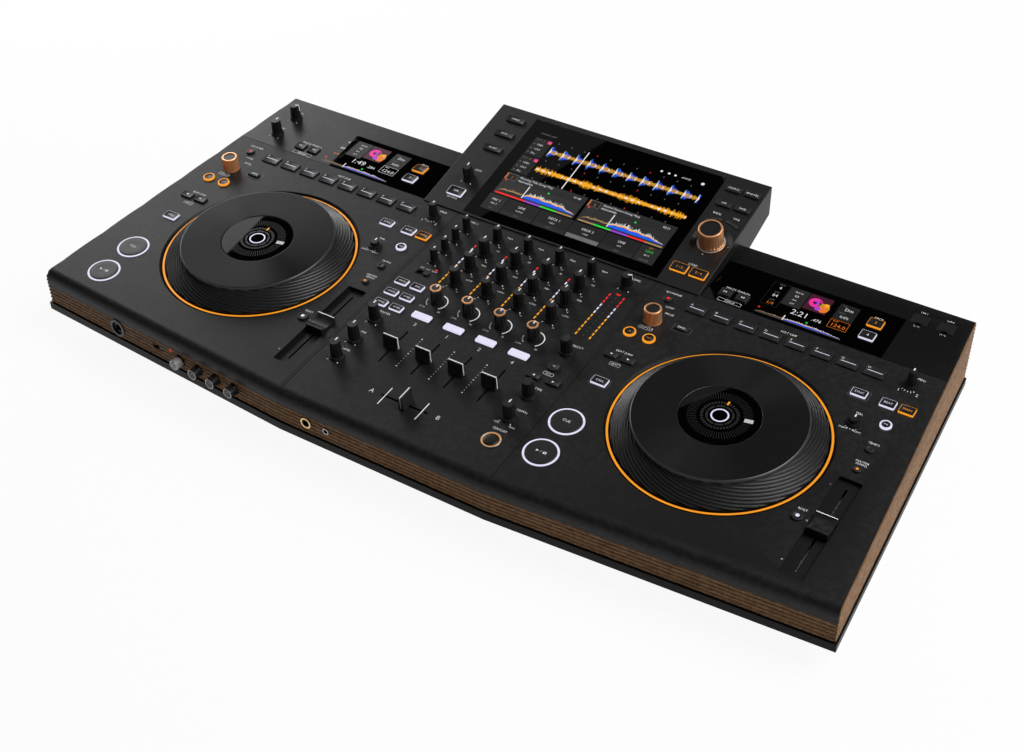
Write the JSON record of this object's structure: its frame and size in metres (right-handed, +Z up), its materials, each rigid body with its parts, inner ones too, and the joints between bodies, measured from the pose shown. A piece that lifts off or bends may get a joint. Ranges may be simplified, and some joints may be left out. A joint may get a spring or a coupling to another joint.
{
  "type": "all-in-one dj system",
  "caption": "Free-standing disc jockey console: two jog-wheel decks either side of a mixer, a raised touch screen behind it and a fluted wood-look trim round the case.",
  "frame": {"origin": "on the table, under the middle of the console's outline", "axes": "+X to the right as the player sees it, +Y to the back, +Z up"},
  "size_m": [0.785, 0.4202, 0.1213],
  "materials": {
    "base": "matte black",
    "rubber": "matte",
    "steel": "brushed",
    "fluted_wood": "satin walnut look, fluted",
    "deck": "fine-textured charcoal",
    "rear_plate": "satin black",
    "housing": "fine-textured charcoal",
    "screen_glass": "glossy black",
    "display_glass": "glossy black",
    "jog_glass": "glossy black",
    "lit_plastic": "lit, translucent",
    "board": "solder mask",
    "sockets": "moulded black",
    "knob": "satin black",
    "track": "folded steel",
    "jog": "satin black",
    "fader": "satin black",
    "copper": "anodised copper colour",
    "button": "satin black, lit edge",
    "pad": "soft, lit edge",
    "play_button": "satin black"
  },
  "bodies": {
    "console": {"bottom_case": "base", "rubber_feet": "rubber", "case_screws": "steel", "fluted_trim": "fluted_wood", "rear_panel": "rear_plate", "left_deck_panel": "deck", "mixer_panel": "deck", "right_deck_panel": "deck", "screen_housing": "housing", "touch_screen": "screen_glass", "deck_displays": "display_glass", "jog_centre_displays": "jog_glass", "lit_windows": "lit_plastic", "circuit_boards": "board", "front_and_usb_sockets": "sockets", "rear_sockets": "sockets", "fixed_knobs": "knob", "slider_tracks": "track"},
    "left_jog_wheel": {"left_jog_wheel": "jog"},
    "left_tempo_slider": {"left_tempo_slider": "fader"},
    "left_loop_knob": {"left_loop_knob": "copper"},
    "left_play_button": {"left_play_button": "play_button"},
    "left_cue_button": {"left_cue_button": "play_button"},
    "left_hot_cue_pads": {"left_hot_cue_pads": "pad"},
    "left_deck_buttons": {"left_deck_buttons": "button"},
    "right_jog_wheel": {"right_jog_wheel": "jog"},
    "right_tempo_slider": {"right_tempo_slider": "fader"},
    "right_loop_knob": {"right_loop_knob": "copper"},
    "right_play_button": {"right_play_button": "play_button"},
    "right_cue_button": {"right_cue_button": "play_button"},
    "right_hot_cue_pads": {"right_hot_cue_pads": "pad"},
    "right_deck_buttons": {"right_deck_buttons": "button"},
    "channel_1_fader": {"channel_1_fader": "fader"},
    "channel_2_fader": {"channel_2_fader": "fader"},
    "channel_3_fader": {"channel_3_fader": "fader"},
    "channel_4_fader": {"channel_4_fader": "fader"},
    "crossfader": {"crossfader": "fader"},
    "channel_3_high_knob": {"channel_3_high_knob": "knob"},
    "channel_3_mid_knob": {"channel_3_mid_knob": "knob"},
    "channel_3_low_knob": {"channel_3_low_knob": "knob"},
    "channel_3_colour_knob": {"channel_3_colour_knob": "knob"},
    "channel_1_high_knob": {"channel_1_high_knob": "knob"},
    "channel_1_mid_knob": {"channel_1_mid_knob": "knob"},
    "channel_1_low_knob": {"channel_1_low_knob": "knob"},
    "channel_1_colour_knob": {"channel_1_colour_knob": "knob"},
    "channel_2_high_knob": {"channel_2_high_knob": "knob"},
    "channel_2_mid_knob": {"channel_2_mid_knob": "knob"},
    "channel_2_low_knob": {"channel_2_low_knob": "knob"},
    "channel_2_colour_knob": {"channel_2_colour_knob": "knob"},
    "channel_4_high_knob": {"channel_4_high_knob": "knob"},
    "channel_4_mid_knob": {"channel_4_mid_knob": "knob"},
    "channel_4_low_knob": {"channel_4_low_knob": "knob"},
    "channel_4_colour_knob": {"channel_4_colour_knob": "knob"},
    "browse_knob": {"browse_knob": "copper"},
    "mixer_buttons": {"mixer_buttons": "button"},
    "screen_buttons": {"screen_buttons": "button"},
    "microphone_switch": {"microphone_switch": "button"},
    "front_switch": {"front_switch": "button"},
    "power_switch": {"power_switch": "button"},
    "usb_covers": {"usb_covers": "base"}
  },
  "joints": [
    {"name": "left_jog_turn", "type": "hinge", "parent": "console", "child": "left_jog_wheel", "pos_m": [-0.23445, -0.06553, 0.07545], "axis": [0, -0.0765, 0.9971], "continuous": true},
    {"name": "left_tempo_slide", "type": "slide", "parent": "console", "child": "left_tempo_slider", "axis": [0, 0.9971, 0.0765], "range_m": [-0.043, 0.043]},
    {"name": "left_loop_turn", "type": "hinge", "parent": "console", "child": "left_loop_knob", "pos_m": [-0.34245, 0.02261, 0.08222], "axis": [0, -0.0765, 0.9971], "continuous": true},
    {"name": "left_play_press", "type": "slide", "parent": "console", "child": "left_play_button", "axis": [0, 0.0765, -0.9971], "range_m": [0, 0.0008], "stiffness_N_per_m": 250, "springref_m": -0.002},
    {"name": "left_cue_press", "type": "slide", "parent": "console", "child": "left_cue_button", "axis": [0, 0.0765, -0.9971], "range_m": [0, 0.0008], "stiffness_N_per_m": 250, "springref_m": -0.002},
    {"name": "left_hot_cue_press", "type": "slide", "parent": "console", "child": "left_hot_cue_pads", "axis": [0, 0.0765, -0.9971], "range_m": [0, 0.0008], "stiffness_N_per_m": 250, "springref_m": -0.002},
    {"name": "left_deck_press", "type": "slide", "parent": "console", "child": "left_deck_buttons", "axis": [0, 0.0765, -0.9971], "range_m": [0, 0.0008], "stiffness_N_per_m": 250, "springref_m": -0.002},
    {"name": "right_jog_turn", "type": "hinge", "parent": "console", "child": "right_jog_wheel", "pos_m": [0.23445, -0.06553, 0.07545], "axis": [0, -0.0765, 0.9971], "continuous": true},
    {"name": "right_tempo_slide", "type": "slide", "parent": "console", "child": "right_tempo_slider", "axis": [0, 0.9971, 0.0765], "range_m": [-0.043, 0.043]},
    {"name": "right_loop_turn", "type": "hinge", "parent": "console", "child": "right_loop_knob", "pos_m": [0.12645, 0.02261, 0.08222], "axis": [0, -0.0765, 0.9971], "continuous": true},
    {"name": "right_play_press", "type": "slide", "parent": "console", "child": "right_play_button", "axis": [0, 0.0765, -0.9971], "range_m": [0, 0.0008], "stiffness_N_per_m": 250, "springref_m": -0.002},
    {"name": "right_cue_press", "type": "slide", "parent": "console", "child": "right_cue_button", "axis": [0, 0.0765, -0.9971], "range_m": [0, 0.0008], "stiffness_N_per_m": 250, "springref_m": -0.002},
    {"name": "right_hot_cue_press", "type": "slide", "parent": "console", "child": "right_hot_cue_pads", "axis": [0, 0.0765, -0.9971], "range_m": [0, 0.0008], "stiffness_N_per_m": 250, "springref_m": -0.002},
    {"name": "right_deck_press", "type": "slide", "parent": "console", "child": "right_deck_buttons", "axis": [0, 0.0765, -0.9971], "range_m": [0, 0.0008], "stiffness_N_per_m": 250, "springref_m": -0.002},
    {"name": "channel_1_level", "type": "slide", "parent": "console", "child": "channel_1_fader", "axis": [0, 0.9971, 0.0765], "range_m": [-0.0182, 0.0212]},
    {"name": "channel_2_level", "type": "slide", "parent": "console", "child": "channel_2_fader", "axis": [0, 0.9971, 0.0765], "range_m": [-0.0182, 0.0212]},
    {"name": "channel_3_level", "type": "slide", "parent": "console", "child": "channel_3_fader", "axis": [0, 0.9971, 0.0765], "range_m": [-0.0182, 0.0212]},
    {"name": "channel_4_level", "type": "slide", "parent": "console", "child": "channel_4_fader", "axis": [0, 0.9971, 0.0765], "range_m": [-0.0182, 0.0212]},
    {"name": "crossfade", "type": "slide", "parent": "console", "child": "crossfader", "axis": [1, 0, 0], "range_m": [-0.0235, 0.0193]},
    {"name": "channel_3_high_turn", "type": "hinge", "parent": "console", "child": "channel_3_high_knob", "pos_m": [-0.0503, 0.02999, 0.08279], "axis": [0, -0.0765, 0.9971], "range_deg": [-140, 140]},
    {"name": "channel_3_mid_turn", "type": "hinge", "parent": "console", "child": "channel_3_mid_knob", "pos_m": [-0.0503, 0.00666, 0.081], "axis": [0, -0.0765, 0.9971], "range_deg": [-140, 140]},
    {"name": "channel_3_low_turn", "type": "hinge", "parent": "console", "child": "channel_3_low_knob", "pos_m": [-0.0503, -0.01687, 0.07919], "axis": [0, -0.0765, 0.9971], "range_deg": [-140, 140]},
    {"name": "channel_3_colour_turn", "type": "hinge", "parent": "console", "child": "channel_3_colour_knob", "pos_m": [-0.0503, -0.04589, 0.07696], "axis": [0, -0.0765, 0.9971], "range_deg": [-140, 140]},
    {"name": "channel_1_high_turn", "type": "hinge", "parent": "console", "child": "channel_1_high_knob", "pos_m": [-0.017, 0.02999, 0.08279], "axis": [0, -0.0765, 0.9971], "range_deg": [-140, 140]},
    {"name": "channel_1_mid_turn", "type": "hinge", "parent": "console", "child": "channel_1_mid_knob", "pos_m": [-0.017, 0.00666, 0.081], "axis": [0, -0.0765, 0.9971], "range_deg": [-140, 140]},
    {"name": "channel_1_low_turn", "type": "hinge", "parent": "console", "child": "channel_1_low_knob", "pos_m": [-0.017, -0.01687, 0.07919], "axis": [0, -0.0765, 0.9971], "range_deg": [-140, 140]},
    {"name": "channel_1_colour_turn", "type": "hinge", "parent": "console", "child": "channel_1_colour_knob", "pos_m": [-0.017, -0.04589, 0.07696], "axis": [0, -0.0765, 0.9971], "range_deg": [-140, 140]},
    {"name": "channel_2_high_turn", "type": "hinge", "parent": "console", "child": "channel_2_high_knob", "pos_m": [0.0161, 0.02999, 0.08279], "axis": [0, -0.0765, 0.9971], "range_deg": [-140, 140]},
    {"name": "channel_2_mid_turn", "type": "hinge", "parent": "console", "child": "channel_2_mid_knob", "pos_m": [0.0161, 0.00666, 0.081], "axis": [0, -0.0765, 0.9971], "range_deg": [-140, 140]},
    {"name": "channel_2_low_turn", "type": "hinge", "parent": "console", "child": "channel_2_low_knob", "pos_m": [0.0161, -0.01687, 0.07919], "axis": [0, -0.0765, 0.9971], "range_deg": [-140, 140]},
    {"name": "channel_2_colour_turn", "type": "hinge", "parent": "console", "child": "channel_2_colour_knob", "pos_m": [0.0161, -0.04589, 0.07696], "axis": [0, -0.0765, 0.9971], "range_deg": [-140, 140]},
    {"name": "channel_4_high_turn", "type": "hinge", "parent": "console", "child": "channel_4_high_knob", "pos_m": [0.0492, 0.02999, 0.08279], "axis": [0, -0.0765, 0.9971], "range_deg": [-140, 140]},
    {"name": "channel_4_mid_turn", "type": "hinge", "parent": "console", "child": "channel_4_mid_knob", "pos_m": [0.0492, 0.00666, 0.081], "axis": [0, -0.0765, 0.9971], "range_deg": [-140, 140]},
    {"name": "channel_4_low_turn", "type": "hinge", "parent": "console", "child": "channel_4_low_knob", "pos_m": [0.0492, -0.01687, 0.07919], "axis": [0, -0.0765, 0.9971], "range_deg": [-140, 140]},
    {"name": "channel_4_colour_turn", "type": "hinge", "parent": "console", "child": "channel_4_colour_knob", "pos_m": [0.0492, -0.04589, 0.07696], "axis": [0, -0.0765, 0.9971], "range_deg": [-140, 140]},
    {"name": "browse_turn", "type": "hinge", "parent": "console", "child": "browse_knob", "pos_m": [0.1259, 0.13012, 0.10174], "axis": [0, -0.2377, 0.9713], "continuous": true},
    {"name": "mixer_press", "type": "slide", "parent": "console", "child": "mixer_buttons", "axis": [0, 0.0765, -0.9971], "range_m": [0, 0.0008], "stiffness_N_per_m": 250, "springref_m": -0.002},
    {"name": "screen_press", "type": "slide", "parent": "console", "child": "screen_buttons", "axis": [0, 0.2377, -0.9713], "range_m": [0, 0.0008], "stiffness_N_per_m": 250, "springref_m": -0.002},
    {"name": "microphone_select", "type": "slide", "parent": "console", "child": "microphone_switch", "axis": [-1, 0, 0], "range_m": [0, 0.0078]},
    {"name": "front_select", "type": "slide", "parent": "console", "child": "front_switch", "axis": [-0.9975, 0.0703, 0], "range_m": [0, 0.0074]},
    {"name": "power_rock", "type": "hinge", "parent": "console", "child": "power_switch", "pos_m": [0.256, 0.14909, 0.058], "axis": [-1, 0, 0], "range_deg": [-16, 0]},
    {"name": "usb_cover_open", "type": "hinge", "parent": "console", "child": "usb_covers", "pos_m": [0.32245, 0.138, 0.09068], "axis": [-1, 0, 0], "range_deg": [0, 100]}
  ]
}
